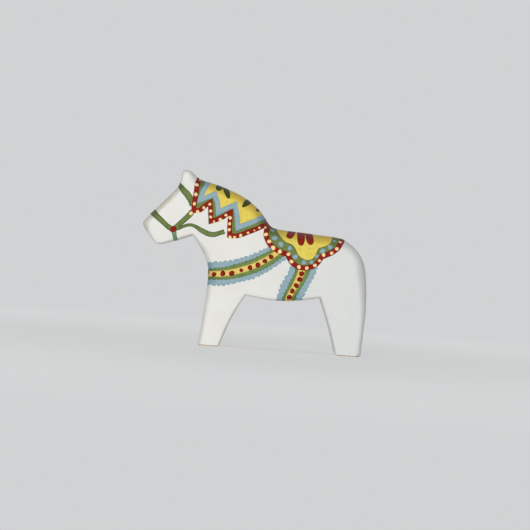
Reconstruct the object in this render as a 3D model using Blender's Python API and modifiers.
"""A carved and painted Dala horse: a pine core, its white ground coat and the painted harness.

The horse stands on Z = 0 with its head towards -X, so the XZ plane is its side view.
Sizes are in metres; MM turns the millimetres that a carver would measure into metres.
"""

import math

import bmesh
import bpy
import numpy as np
from mathutils import Matrix, Vector
from mathutils.geometry import delaunay_2d_cdt

MM = 0.001

# Driving sizes of the carved horse
SQUARE = 1.0 * MM  # one square of the squared drawing that gives the outline and the brush paths
HEAD_REACH = 29.9 * MM  # nose tip to chest
BODY_LENGTH = 69.3 * MM  # chest to rump
LEG_LENGTH = 21.7 * MM  # sole to the lowest point of the belly
BODY_HALF_WIDTH = 12.0 * MM
HEAD_HALF_WIDTH = 7.0 * MM
LEG_GAP = 6.0 * MM  # sawn slot between the left and right legs
LEG_SLOT_ROOF = 2.5 * MM  # wood left between the slot and the belly line
EAR_NOTCH_WIDTH = 7.0 * MM  # at the ear tips
EAR_NOTCH_DEPTH = 5.2 * MM

# The neck narrows from the body's width to the head's along this line in the side view
NECK_TAPER_START_X = 14.3 * MM  # behind the chest
NECK_TAPER_START_Z = 14.3 * MM  # above the belly
NECK_TAPER_LENGTH = 42.0 * MM
NECK_TAPER_ANGLE = math.radians(127.0)  # up and forward

# How far the knife rounds the edges, measured in the side view
MUZZLE_ROUND = 2.0 * MM
EAR_ROUND = 1.3 * MM
CREST_ROUND = 3.6 * MM
BACK_ROUND = 4.6 * MM
RUMP_ROUND = 4.6 * MM
CHEST_ROUND = 2.8 * MM
LEG_ROUND = 2.0 * MM
ROUND_DEPTH_RATIO = 1.7  # depth of a rounded edge across the horse over its reach in the side view

# Coats of paint, and the clearance that keeps two solids apart
CLEARANCE = 0.25 * MM
GROUND_COAT = 0.3 * MM
PAINT = 0.3 * MM
SOLE_LIFT = 0.3 * MM  # the ground coat stops this far above the bare wooden soles

# Brush sizes of the painted harness
BRIDLE_WIDTH = 1.9 * MM
CHIN_STRAP_WIDTH = 1.4 * MM
REIN_WIDTH = 1.7 * MM
ROSETTE_RADIUS = 1.35 * MM
MANE_RED_WIDTH = 1.5 * MM
MANE_GREEN_WIDTH = 1.2 * MM
MANE_BLUE_WIDTH = 1.4 * MM
SADDLE_RED_WIDTH = 1.7 * MM
SADDLE_GREEN_WIDTH = 2.3 * MM
LEAF_WIDTH = 2.4 * MM
PETAL_WIDTH = 3.2 * MM
STRAP_WIDTH = 2.6 * MM
STRAP_EDGING = 1.1 * MM
SCALLOP_DEPTH = 1.5 * MM
SCALLOP_WAVE = 0.5 * MM
SCALLOP_PITCH = 2.4 * MM

# Fineness of the facets
OUTLINE_STEP = 4.5 * MM
BRUSH_STEP = 2.6 * MM
SCALLOP_STEP = SCALLOP_PITCH / 2
FLAT_STEP = 9.0 * MM
FLAT_MARGIN = FLAT_STEP / 3  # between the last ring of a round and the grid of the flat side
RING_FIT = 0.97  # a ring's point is kept if it lies at this share of its depth or more
ROUND_ANGLES = [math.radians(angle) for angle in (30.0, 60.0, 90.0)]
FLAT_ANGLE = math.radians(0.5)
DISC_SIDES = 16
ARCH_SIDES = 8
STROKE_STEPS = 8
WELD = 0.001 * MM

MITRE_LIMIT = 2.2
OVERRUN = 3.0 * MM  # how far outlines and cutters run past the wood
RIDGE_MARGIN = 1.0 * MM  # strokes of one side stop this far from the middle of the horse

NOSE_X = -(HEAD_REACH + BODY_LENGTH) / 2
CHEST_X = NOSE_X + HEAD_REACH
RUMP_X = CHEST_X + BODY_LENGTH
REACH = HEAD_REACH + BODY_LENGTH
SPAN = BODY_HALF_WIDTH + OVERRUN


def head(x, z):
    """A place of the side view, in squares behind the nose and above the belly line."""
    return NOSE_X + x * SQUARE, LEG_LENGTH + z * SQUARE


def fore(x, z):
    """A place of the side view, in squares behind the chest and above the belly line."""
    return CHEST_X + x * SQUARE, LEG_LENGTH + z * SQUARE


def hind(x, z):
    """A place of the side view, in squares behind the rump, so mostly negative, and above the belly line."""
    return RUMP_X + x * SQUARE, LEG_LENGTH + z * SQUARE


def sole(place, x):
    """A corner of a leg, carried past the floor so that a level cut makes the sole."""
    return place(x, 0.0)[0], -OVERRUN


EAR_TIP = head(15.7, 53.3)

# The sawn outline, clockwise from the nose: a place, whether it is a sharp corner, and the edge round there
OUTLINE = [
    (head(0.0, 28.8), False, MUZZLE_ROUND),
    (head(0.7, 30.4), False, MUZZLE_ROUND),
    (head(4.7, 35.2), False, MUZZLE_ROUND),
    (head(14.2, 46.0), False, MUZZLE_ROUND),
    (head(14.9, 48.2), False, EAR_ROUND),
    (EAR_TIP, True, EAR_ROUND),
    (head(19.0, 53.1), False, EAR_ROUND),
    (head(23.3, 49.8), False, CREST_ROUND),
    (fore(-0.7, 48.4), False, CREST_ROUND),
    (fore(7.3, 45.9), False, CREST_ROUND),
    (fore(14.3, 42.7), False, CREST_ROUND),
    (fore(19.6, 38.7), False, CREST_ROUND),
    (fore(22.9, 34.9), False, CREST_ROUND),
    (fore(25.0, 32.0), False, CREST_ROUND),
    (fore(28.3, 30.7), False, BACK_ROUND),
    (hind(-25.0, 29.6), False, BACK_ROUND),
    (hind(-12.8, 28.5), False, BACK_ROUND),
    (hind(-7.4, 25.5), False, RUMP_ROUND),
    (hind(-3.4, 20.8), False, RUMP_ROUND),
    (hind(-1.2, 14.8), False, RUMP_ROUND),
    (hind(0.0, 0.3), False, CHEST_ROUND),
    (hind(-0.3, -9.7), False, LEG_ROUND),
    (sole(hind, -1.1), True, LEG_ROUND),
    (sole(hind, -11.0), True, LEG_ROUND),
    (hind(-15.4, -10.2), False, LEG_ROUND),
    (hind(-20.2, 2.5), True, LEG_ROUND),
    (hind(-28.0, 0.9), False, LEG_ROUND),
    (fore(28.3, -0.1), False, LEG_ROUND),
    (fore(17.0, 1.1), True, LEG_ROUND),
    (fore(14.3, -3.6), False, LEG_ROUND),
    (fore(10.5, -11.7), False, LEG_ROUND),
    (sole(fore, 6.0), True, LEG_ROUND),
    (sole(fore, -2.4), True, LEG_ROUND),
    (fore(-0.6, -6.7), False, LEG_ROUND),
    (fore(0.2, 6.3), False, CHEST_ROUND),
    (fore(-0.3, 12.8), False, CHEST_ROUND),
    (fore(-3.2, 18.9), False, CHEST_ROUND),
    (head(22.0, 25.5), True, MUZZLE_ROUND),
    (head(14.2, 22.5), False, MUZZLE_ROUND),
    (head(7.5, 20.5), False, MUZZLE_ROUND),
    (head(5.7, 21.4), False, MUZZLE_ROUND),
    (head(1.8, 25.8), False, MUZZLE_ROUND),
]

# Brush paths of the bridle; those that go round the horse start or end outside its outline,
# and those that go to the mane or the neck end at a place of the forehand
ROSETTE_CENTRE = head(13.5, 27.4)
NOSEBAND_PATH = [head(2.6, 36.4), head(6.2, 32.2), head(10.7, 28.6), ROSETTE_CENTRE]
CHIN_STRAP_PATH = [ROSETTE_CENTRE, head(14.5, 24.6), head(15.4, 20.8)]
BROWBAND_PATH = [head(12.4, 48.3), head(16.7, 44.6), head(20.4, 40.4), fore(-7.9, 38.4)]
CHEEK_STRAP_PATH = [ROSETTE_CENTRE, head(17.2, 31.3), fore(-8.5, 36.6)]
REIN_PATH = [
    ROSETTE_CENTRE, head(17.7, 29.0), head(21.0, 29.8), head(24.5, 28.5),
    fore(-1.2, 26.6), fore(2.3, 26.6), fore(5.5, 27.8),
]

# Brush paths of the mane, from the ears to the withers, and the ends of its leaves
MANE_RED_PATH = [
    fore(-6.8, 53.0), fore(-7.8, 43.0), fore(-8.1, 35.8), fore(-1.1, 40.2), fore(-0.3, 31.9),
    fore(3.8, 33.5), fore(7.7, 36.5), fore(8.1, 25.8), fore(16.1, 28.5), fore(26.5, 33.8),
]
MANE_GREEN_PATH = [
    fore(-5.0, 52.0), fore(-6.5, 38.1), fore(0.0, 43.1), fore(1.4, 34.0),
    fore(9.0, 38.3), fore(10.4, 28.1), fore(19.0, 31.8), fore(28.0, 36.5),
]
MANE_BLUE_PATH = [
    fore(-3.0, 51.5), fore(-5.4, 40.8), fore(1.0, 45.0), fore(2.6, 36.0),
    fore(9.8, 40.6), fore(11.5, 30.0), fore(19.0, 33.8), fore(28.0, 38.5),
]
MANE_TOP = [fore(28.0, 41.0), fore(20.0, 47.0), fore(9.0, 52.0), fore(-3.0, 54.5)]
MANE_LEAVES = {
    "front": [fore(4.3, 46.4), fore(6.3, 42.1)],
    "rear": [fore(15.9, 42.3), fore(12.8, 39.2)],
}

# The saddle is three lobes that meet in cusps; each lobe is one smooth run of the brush
SADDLE_RED_LOBES = [
    [fore(24.6, 35.0), fore(23.8, 28.3), fore(27.0, 22.8), fore(33.8, 20.0)],
    [fore(33.8, 20.0), fore(36.3, 16.5), fore(40.9, 14.7), fore(45.6, 16.4), fore(48.3, 20.2)],
    [fore(48.3, 20.2), fore(52.3, 22.1), fore(55.8, 26.1), fore(57.5, 32.5)],
]
SADDLE_GREEN_LOBES = [
    [fore(26.0, 33.8), fore(27.9, 26.9), fore(30.5, 24.4), fore(35.3, 22.4)],
    [fore(35.3, 22.4), fore(37.1, 19.5), fore(41.0, 17.3), fore(44.5, 17.8), fore(47.2, 21.5)],
    [fore(47.2, 21.5), fore(51.5, 24.6), fore(53.4, 27.5), fore(54.4, 32.5)],
]
SADDLE_TOP = [fore(54.4, 35.0), fore(26.0, 35.0)]
SADDLE_PETALS = {
    "front": [fore(35.1, 29.8), fore(34.0, 27.2)],
    "middle": [fore(38.8, 29.8), fore(39.0, 24.6)],
    "rear": [fore(42.2, 29.6), fore(43.2, 25.4)],
}

# The straps run on under the saddle, which cuts them off
BREAST_STRAP_PATH = [
    fore(-5.0, 9.9), fore(2.7, 9.4), fore(10.3, 10.5), fore(18.1, 13.4), fore(24.2, 16.6), fore(32.0, 24.0),
]
GIRTH_PATH = [fore(40.2, 19.0), fore(39.6, 9.8), fore(36.8, 4.6), fore(34.6, -3.0)]

# Base colour and roughness of each finish
FINISHES = {
    "pine": ((0.62, 0.42, 0.22), 0.7),
    "white": ((0.80, 0.79, 0.75), 0.45),
    "green": ((0.16, 0.23, 0.06), 0.45),
    "dark_green": ((0.03, 0.06, 0.01), 0.45),
    "blue": ((0.30, 0.48, 0.66), 0.45),
    "yellow": ((0.80, 0.60, 0.09), 0.45),
    "red": ((0.42, 0.03, 0.02), 0.45),
}


def smoothed(points, corners, step):
    """A smooth curve through the points, sharp at the corners, as points about one step apart.

    Each stretch is a cubic whose slope at a point follows its two neighbours; at a corner it follows one.
    The curve's last point is left out. Also gives each point's place, as stretch number plus share.
    """
    points = np.asarray(points, float)
    traced, places = [], []
    for i in range(len(points) - 1):
        start, end = points[i], points[i + 1]
        before = 2 * start - end if corners[i] else points[i - 1]
        after = 2 * end - start if corners[i + 1] else points[i + 2]
        chord = np.linalg.norm(end - start)
        leave = (end - before) * chord / (chord + np.linalg.norm(start - before))
        arrive = (after - start) * chord / (chord + np.linalg.norm(after - end))
        count = max(1, round(chord / step))
        share = np.arange(count) / count
        t = share[:, None]
        curve = (2 * t**3 - 3 * t**2 + 1) * start + (t**3 - 2 * t**2 + t) * leave
        curve += (3 * t**2 - 2 * t**3) * end + (t**3 - t**2) * arrive
        traced.append(curve)
        places.append(i + share)
    return np.concatenate(traced), np.concatenate(places)


def brush_path(points, step=BRUSH_STEP):
    """A smooth open path through the given points, both ends included."""
    corners = [True] + [False] * (len(points) - 2) + [True]
    return np.vstack([smoothed(points, corners, step)[0], points[-1]])


def lobed_path(lobes):
    """Smooth runs joined end to end, with a cusp at each joint."""
    runs = [brush_path(lobe) for lobe in lobes]
    return np.vstack([run[:-1] for run in runs] + [runs[-1][-1:]])


def even_path(path, step):
    """The same path with its points one step apart."""
    along = np.append(0, np.cumsum(np.linalg.norm(np.diff(path, axis=0), axis=1)))
    wanted = np.arange(0, along[-1], step)
    return np.column_stack([np.interp(wanted, along, path[:, axis]) for axis in (0, 1)])


def band(path, left, right):
    """The outline of a band along an open path, this far to its left and to its right, mitred at corners."""
    path = np.asarray(path, float)
    run = np.diff(path, axis=0)
    run /= np.linalg.norm(run, axis=1)[:, None]
    first, second = np.vstack([run[:1], run]), np.vstack([run, run[-1:]])
    normal = np.column_stack([-(first + second)[:, 1], (first + second)[:, 0]])
    normal /= np.linalg.norm(normal, axis=1)[:, None]
    bend = (normal * np.column_stack([-first[:, 1], first[:, 0]])).sum(1)
    normal /= np.clip(bend, 1 / MITRE_LIMIT, 1)[:, None]
    left = np.broadcast_to(left, len(path))[:, None]
    right = np.broadcast_to(right, len(path))[:, None]
    return np.vstack([path + normal * left, (path - normal * right)[::-1]])


def stripe(path, width, grow):
    """A band of even width along a path."""
    return band(path, width / 2 + grow, width / 2 + grow)


def cover(path, width, top, grow):
    """Everything from the outer edge of a border up to a line above the horse."""
    outer_edge = band(path, 0, width / 2 + grow)[len(path):]
    return np.vstack([outer_edge, top[::-1]])


def disc(centre, radius):
    angles = np.linspace(0, 2 * math.pi, DISC_SIDES, endpoint=False)
    return np.array(centre) + radius * np.column_stack([np.cos(angles), np.sin(angles)])


def pressed_stroke(ends, width):
    """One pressed brush mark: broad from its first end on, and closing to a round tip at the other."""
    start, end = np.array(ends)
    along = end - start
    normal = np.array([-along[1], along[0]]) / np.linalg.norm(along)
    share = np.linspace(0, 1, STROKE_STEPS)[:, None]
    half = width / 2 * np.sqrt(1 - share**3)
    spine = start + share * along
    return np.vstack([spine + normal * half, (spine - normal * half)[-2::-1]])


def strap_strip(path, inner, outer, side, wave=0.0):
    """A strip beside a strap's path, between two offsets; the wave scallops its outer edge."""
    along = SCALLOP_STEP * np.arange(len(path))
    edge = outer + wave * np.abs(np.sin(math.pi * along / SCALLOP_PITCH))
    return band(path, edge, -inner) if side == "left" else band(path, -inner, edge)


def harness_outlines(grow):
    """Outlines of the painted motifs in the side view, grown to be masks for their neighbours."""
    saddle_red = lobed_path(SADDLE_RED_LOBES)
    saddle_green = lobed_path(SADDLE_GREEN_LOBES)
    outlines = {
        "noseband": stripe(brush_path(NOSEBAND_PATH), BRIDLE_WIDTH, grow),
        "chin_strap": stripe(brush_path(CHIN_STRAP_PATH), CHIN_STRAP_WIDTH, grow),
        "browband": stripe(brush_path(BROWBAND_PATH), BRIDLE_WIDTH, grow),
        "cheek_strap": stripe(brush_path(CHEEK_STRAP_PATH), BRIDLE_WIDTH, grow),
        "rein": stripe(brush_path(REIN_PATH), REIN_WIDTH, grow),
        "bridle_rosette": disc(ROSETTE_CENTRE, ROSETTE_RADIUS + grow),
        "mane_red_border": stripe(MANE_RED_PATH, MANE_RED_WIDTH, grow),
        "mane_green_zigzag": stripe(MANE_GREEN_PATH, MANE_GREEN_WIDTH, grow),
        "mane_blue_zigzag": stripe(MANE_BLUE_PATH, MANE_BLUE_WIDTH, grow),
        "mane_field": np.vstack([MANE_BLUE_PATH, MANE_TOP]),
        "mane_cover": cover(MANE_RED_PATH, MANE_RED_WIDTH, MANE_TOP, grow),
        "saddle_red_border": stripe(saddle_red, SADDLE_RED_WIDTH, grow),
        "saddle_green_band": stripe(saddle_green, SADDLE_GREEN_WIDTH, grow),
        "saddle_field": np.vstack([saddle_green, SADDLE_TOP]),
        "saddle_cover": cover(saddle_red, SADDLE_RED_WIDTH, SADDLE_TOP, grow),
    }
    strap_edge = STRAP_WIDTH / 2
    edging = strap_edge + CLEARANCE, strap_edge + CLEARANCE + STRAP_EDGING
    scallops = edging[1] + CLEARANCE, edging[1] + CLEARANCE + SCALLOP_DEPTH
    for strap, points, sides in (
        ("breast_strap", BREAST_STRAP_PATH, {"upper": "left", "lower": "right"}),
        ("girth", GIRTH_PATH, {"rear": "left", "front": "right"}),
    ):
        path = even_path(brush_path(points), SCALLOP_STEP)
        outlines[strap] = stripe(brush_path(points), STRAP_WIDTH, grow)
        for place, side in sides.items():
            outlines[f"{strap}_{place}_edging"] = strap_strip(brush_path(points), *edging, side)
            outlines[f"{strap}_{place}_scallops"] = strap_strip(path, *scallops, side, SCALLOP_WAVE)
    for place, ends in MANE_LEAVES.items():
        outlines[f"mane_leaf_{place}"] = pressed_stroke(ends, LEAF_WIDTH)
    for place, ends in SADDLE_PETALS.items():
        outlines[f"saddle_petal_{place}"] = pressed_stroke(ends, PETAL_WIDTH)
    return outlines


def traced_outline():
    """The closed outline of the horse as points, with the edge round at each."""
    places, corners, rounds = zip(*OUTLINE)
    start = corners.index(True)
    order = [(start + i) % len(OUTLINE) for i in range(len(OUTLINE) + 1)]
    points, at = smoothed([places[i] for i in order], [corners[i] for i in order], OUTLINE_STEP)
    return points, np.interp(at, np.arange(len(order)), [rounds[i] for i in order])


def outward(points):
    """Unit normals of a closed clockwise outline, pointing out of it."""
    along = np.roll(points, -1, 0) - np.roll(points, 1, 0)
    along /= np.linalg.norm(along, axis=1)[:, None]
    return np.column_stack([-along[:, 1], along[:, 0]])


def half_width(places):
    """Half the horse's width at places of the side view, eased from the body's to the head's up the neck."""
    x = places[:, 0] - CHEST_X - NECK_TAPER_START_X
    z = places[:, 1] - LEG_LENGTH - NECK_TAPER_START_Z
    rise = x * math.cos(NECK_TAPER_ANGLE) + z * math.sin(NECK_TAPER_ANGLE)
    t = np.clip(rise / NECK_TAPER_LENGTH, 0, 1)
    return BODY_HALF_WIDTH + (HEAD_HALF_WIDTH - BODY_HALF_WIDTH) * t * t * (3 - 2 * t)


def nearest_on_outline(points, outline, edge_round):
    """Each point's distance to the closed outline, and the edge round at the nearest place on it."""
    run = np.roll(outline, -1, 0) - outline
    share = np.clip(((points[:, None] - outline) * run).sum(2) / (run * run).sum(1), 0, 1)
    gap = np.linalg.norm(points[:, None] - outline - share[..., None] * run, axis=2)
    near = gap.argmin(1)
    rows = np.arange(len(points))
    place = near + share[rows, near]
    local = np.interp(place, np.arange(len(outline) + 1), np.append(edge_round, edge_round[0]))
    return gap[rows, near], local


def inside(points, outline):
    """Whether each point lies inside the closed outline, by the count of crossings of a level line."""
    ends = np.roll(outline, -1, 0)
    x, z = points[:, None, 0], points[:, None, 1]
    spans = (outline[:, 1] > z) != (ends[:, 1] > z)
    climb = np.where(ends[:, 1] == outline[:, 1], 1.0, ends[:, 1] - outline[:, 1])
    crossing = outline[:, 0] + (z - outline[:, 1]) / climb * (ends[:, 0] - outline[:, 0])
    return (spans & (x < crossing)).sum(1) % 2 == 1


def carved_half():
    """The +Y half of the carved horse as a mesh that is open at Y = 0.

    From the outline the surface rises to the half width over an elliptical edge round, then runs flat.
    Rings of points follow the round, a grid fills the flat side, and a Delaunay net joins them.
    """
    outline, edge_round = traced_outline()
    steps = [edge_round * (1 - math.cos(angle)) for angle in ROUND_ANGLES]
    rings = np.vstack([outline - outward(outline) * step[:, None] for step in steps])
    depth, _ = nearest_on_outline(rings, outline, edge_round)
    rings = rings[(depth > RING_FIT * np.concatenate(steps)) & inside(rings, outline)]

    low, high = outline.min(0), outline.max(0)
    columns, rows = np.meshgrid(*[np.arange(low[axis], high[axis], FLAT_STEP) for axis in (0, 1)])
    grid = np.column_stack([columns.ravel(), rows.ravel()])
    depth, local = nearest_on_outline(grid, outline, edge_round)
    grid = grid[(depth > local + FLAT_MARGIN) & inside(grid, outline)]

    points = [Vector(point) for point in np.vstack([outline, rings, grid])]
    net, _, faces, *_ = delaunay_2d_cdt(points, [], [list(range(len(outline)))], 1, WELD)
    places = np.array([(point.x, point.y) for point in net])
    depth, local = nearest_on_outline(places, outline, edge_round)
    width = half_width(places)
    round_depth = np.minimum(ROUND_DEPTH_RATIO * local, width - CLEARANCE)
    rise = np.sqrt(1 - (1 - np.clip(depth / local, 0, 1)) ** 2)
    across = width - round_depth * (1 - rise)

    mesh = bpy.data.meshes.new("carved_half")
    mesh.from_pydata(np.column_stack([places[:, 0], across, places[:, 1]]), [], faces)
    shape = bmesh.new()
    shape.from_mesh(mesh)
    rim = [edge for edge in shape.edges if edge.is_boundary]
    wall = bmesh.ops.extrude_edge_only(shape, edges=rim)["geom"]
    for corner in wall:
        if isinstance(corner, bmesh.types.BMVert):
            corner.co.y = 0
    bmesh.ops.recalc_face_normals(shape, faces=shape.faces)
    shape.to_mesh(mesh)
    shape.free()
    return mesh


def prism(name, outline, low, high, collection):
    """An outline of the side view, extruded across the horse from one Y to another, as a closed mesh."""
    curve = bpy.data.curves.new(name, "CURVE")
    curve.dimensions = "2D"
    curve.fill_mode = "BOTH"
    curve.extrude = (high - low) / 2
    spline = curve.splines.new("POLY")
    spline.points.add(len(outline) - 1)
    spline.use_cyclic_u = True
    for point, (x, z) in zip(spline.points, outline):
        point.co = (x, z, 0, 1)
    drawn = bpy.data.objects.new(name, curve)
    collection.objects.link(drawn)
    drawn.matrix_world = Matrix.Translation((0, (low + high) / 2, 0)) @ Matrix.Rotation(math.pi / 2, 4, "X")
    mesh = bpy.data.meshes.new_from_object(drawn.evaluated_get(bpy.context.evaluated_depsgraph_get()))
    shape = bmesh.new()
    shape.from_mesh(mesh)
    bmesh.ops.remove_doubles(shape, verts=shape.verts, dist=WELD)
    bmesh.ops.recalc_face_normals(shape, faces=shape.faces)
    shape.to_mesh(mesh)
    shape.free()
    place = drawn.matrix_world.copy()
    bpy.data.objects.remove(drawn)
    solid = bpy.data.objects.new(name, mesh)
    solid.matrix_world = place
    collection.objects.link(solid)
    return solid


def guide(obj):
    """Marks a cutter or a guide, which is no piece of the horse."""
    obj.hide_render = True
    obj.display_type = "WIRE"
    return obj


def boolean(obj, operation, other):
    modifier = obj.modifiers.new(operation.title(), "BOOLEAN")
    modifier.operation = operation
    modifier.object = other
    modifier.solver = "EXACT"


def leg_slot(grow, collection):
    """The sawn slot between the left and right legs: an arch along the horse, narrowed by the growth."""
    half = LEG_GAP / 2 - grow
    crown = LEG_LENGTH - LEG_SLOT_ROOF - LEG_GAP / 2
    arch = [(half * math.cos(a), crown + half * math.sin(a)) for a in np.linspace(0, math.pi, ARCH_SIDES + 1)]
    outline = [(half, -2 * OVERRUN), *arch, (-half, -2 * OVERRUN)]
    slot = prism("leg_slot", outline, -REACH, REACH, collection)
    slot.matrix_world = Matrix.Rotation(math.pi / 2, 4, "Z") @ slot.matrix_world
    return guide(slot)


def ear_notch(grow, collection):
    """The V cut that parts the two ears."""
    slope = EAR_NOTCH_WIDTH / 2 / EAR_NOTCH_DEPTH
    root = EAR_TIP[1] - EAR_NOTCH_DEPTH + grow * math.hypot(1, slope) / slope
    top = EAR_TIP[1] + OVERRUN
    outline = [(0, root), (slope * (top - root), top), (-slope * (top - root), top)]
    notch = prism("ear_notch", outline, -HEAD_REACH / 2, HEAD_REACH / 2, collection)
    turn = Matrix.Rotation(math.pi / 2, 4, "Z")
    notch.matrix_world = Matrix.Translation((EAR_TIP[0], 0, 0)) @ turn @ notch.matrix_world
    return guide(notch)


def floor_block(level, collection):
    """A block whose top cuts the legs off level."""
    outline = [(-REACH, level), (REACH, level), (REACH, -4 * OVERRUN), (-REACH, -4 * OVERRUN)]
    return guide(prism("floor_block", outline, -REACH, REACH, collection))


def carved_solid(name, half, grow, collection, cutters):
    """The carved horse, grown by a coat's depth, with leg slot and ear notch; the legs run past the floor."""
    solid = bpy.data.objects.new(name, half.copy())
    collection.objects.link(solid)
    displace = solid.modifiers.new("Grow", "DISPLACE")
    displace.strength = grow
    displace.mid_level = 0
    mirror = solid.modifiers.new("Mirror", "MIRROR")
    mirror.use_axis = (False, True, False)
    mirror.merge_threshold = WELD
    boolean(solid, "DIFFERENCE", leg_slot(grow, cutters))
    boolean(solid, "DIFFERENCE", ear_notch(grow, cutters))
    return solid


def merge_flats(obj):
    """Joins facets that lie in one plane, which leaves the shape as it is."""
    modifier = obj.modifiers.new("Merge flats", "DECIMATE")
    modifier.decimate_type = "DISSOLVE"
    modifier.angle_limit = FLAT_ANGLE


def finish(obj, name):
    """Gives a finished piece its own material, and no more facets than its shape needs."""
    merge_flats(obj)
    colour, roughness = FINISHES[name]
    material = bpy.data.materials.new(f"{obj.name}_{name}")
    material.use_nodes = True
    shader = material.node_tree.nodes["Principled BSDF"]
    shader.inputs["Base Color"].default_value = (*colour, 1)
    shader.inputs["Roughness"].default_value = roughness
    obj.data.materials.clear()
    obj.data.materials.append(material)


def carve_and_coat(half, parts, cutters):
    """The pine core on its bare soles, and the ground coat round it, open under the soles."""
    core = carved_solid("pine_core", half, -GROUND_COAT - CLEARANCE, parts, cutters)
    boolean(core, "DIFFERENCE", floor_block(0, cutters))
    finish(core, "pine")
    coat = carved_solid("white_ground_coat", half, 0, parts, cutters)
    boolean(coat, "DIFFERENCE", guide(carved_solid("coat_lining", half, -GROUND_COAT, cutters, cutters)))
    boolean(coat, "DIFFERENCE", floor_block(SOLE_LIFT, cutters))
    finish(coat, "white")


def paint_harness(half, parts, cutters):
    """Each motif is its outline cut out of a skin round the horse, so that the paint follows the carving."""
    skins = []
    for layer in (0, 1):
        under = CLEARANCE + layer * (CLEARANCE + PAINT)
        inner = guide(carved_solid(f"paint_{layer}_inside", half, under, cutters, cutters))
        outer = guide(carved_solid(f"paint_{layer}_outside", half, under + PAINT, cutters, cutters))
        skins.append((inner, outer))
    ways = {
        "round": {"": (-SPAN, SPAN)},
        "pair": {"_left": (-SPAN, -RIDGE_MARGIN), "_right": (RIDGE_MARGIN, SPAN)},
    }
    # A motif, its finish, whether it goes round the horse or is on each side, its layer, and what cuts it off
    motifs = [
        ("noseband", "green", "round", 0, ["bridle_rosette"]),
        ("chin_strap", "green", "round", 0, ["bridle_rosette"]),
        ("browband", "green", "round", 0, ["mane_cover"]),
        ("cheek_strap", "green", "pair", 0, ["bridle_rosette", "mane_cover"]),
        ("rein", "green", "pair", 0, ["bridle_rosette", "cheek_strap"]),
        ("bridle_rosette", "red", "pair", 0, []),
        ("mane_red_border", "red", "round", 0, []),
        ("mane_blue_zigzag", "blue", "round", 0, []),
        ("mane_green_zigzag", "green", "round", 0, ["mane_red_border", "mane_blue_zigzag"]),
        ("mane_field", "yellow", "round", 0, ["mane_blue_zigzag"]),
        ("mane_leaf_front", "dark_green", "pair", 1, []),
        ("mane_leaf_rear", "dark_green", "pair", 1, []),
        ("saddle_red_border", "red", "round", 0, ["mane_cover"]),
        ("saddle_green_band", "green", "round", 0, ["saddle_red_border", "mane_cover"]),
        ("saddle_field", "yellow", "round", 0, ["saddle_green_band"]),
        ("saddle_petal_front", "red", "pair", 1, []),
        ("saddle_petal_middle", "red", "pair", 1, []),
        ("saddle_petal_rear", "red", "pair", 1, []),
        ("breast_strap", "yellow", "round", 0, ["saddle_cover"]),
        ("breast_strap_upper_edging", "green", "round", 0, ["saddle_cover"]),
        ("breast_strap_lower_edging", "green", "round", 0, ["saddle_cover"]),
        ("breast_strap_upper_scallops", "blue", "round", 0, ["saddle_cover"]),
        ("breast_strap_lower_scallops", "blue", "round", 0, ["saddle_cover"]),
        ("girth", "yellow", "round", 0, ["saddle_cover"]),
        ("girth_front_edging", "green", "round", 0, ["saddle_cover"]),
        ("girth_rear_edging", "green", "round", 0, ["saddle_cover"]),
        ("girth_front_scallops", "blue", "round", 0, ["saddle_cover"]),
        ("girth_rear_scallops", "blue", "round", 0, ["saddle_cover"]),
    ]
    drawn, grown = harness_outlines(0), harness_outlines(CLEARANCE)
    masks = {}
    for motif in sorted({cutter for *_, cut_by in motifs for cutter in cut_by}):
        masks[motif] = guide(prism(f"{motif}_mask", grown[motif], -SPAN - OVERRUN, SPAN + OVERRUN, cutters))
    for motif, colour, way, layer, cut_by in motifs:
        inner, outer = skins[layer]
        for side, (low, high) in ways[way].items():
            piece = prism(motif + side, drawn[motif], low, high, parts)
            boolean(piece, "INTERSECT", outer)
            boolean(piece, "DIFFERENCE", inner)
            for cutter in cut_by:
                boolean(piece, "DIFFERENCE", masks[cutter])
            finish(piece, colour)


def main():
    for obj in list(bpy.data.objects):
        bpy.data.objects.remove(obj)
    parts = bpy.data.collections.new("dala_horse")
    cutters = bpy.data.collections.new("cutters")
    for collection in (parts, cutters):
        bpy.context.scene.collection.children.link(collection)
    half = carved_half()
    carve_and_coat(half, parts, cutters)
    paint_harness(half, parts, cutters)


main()
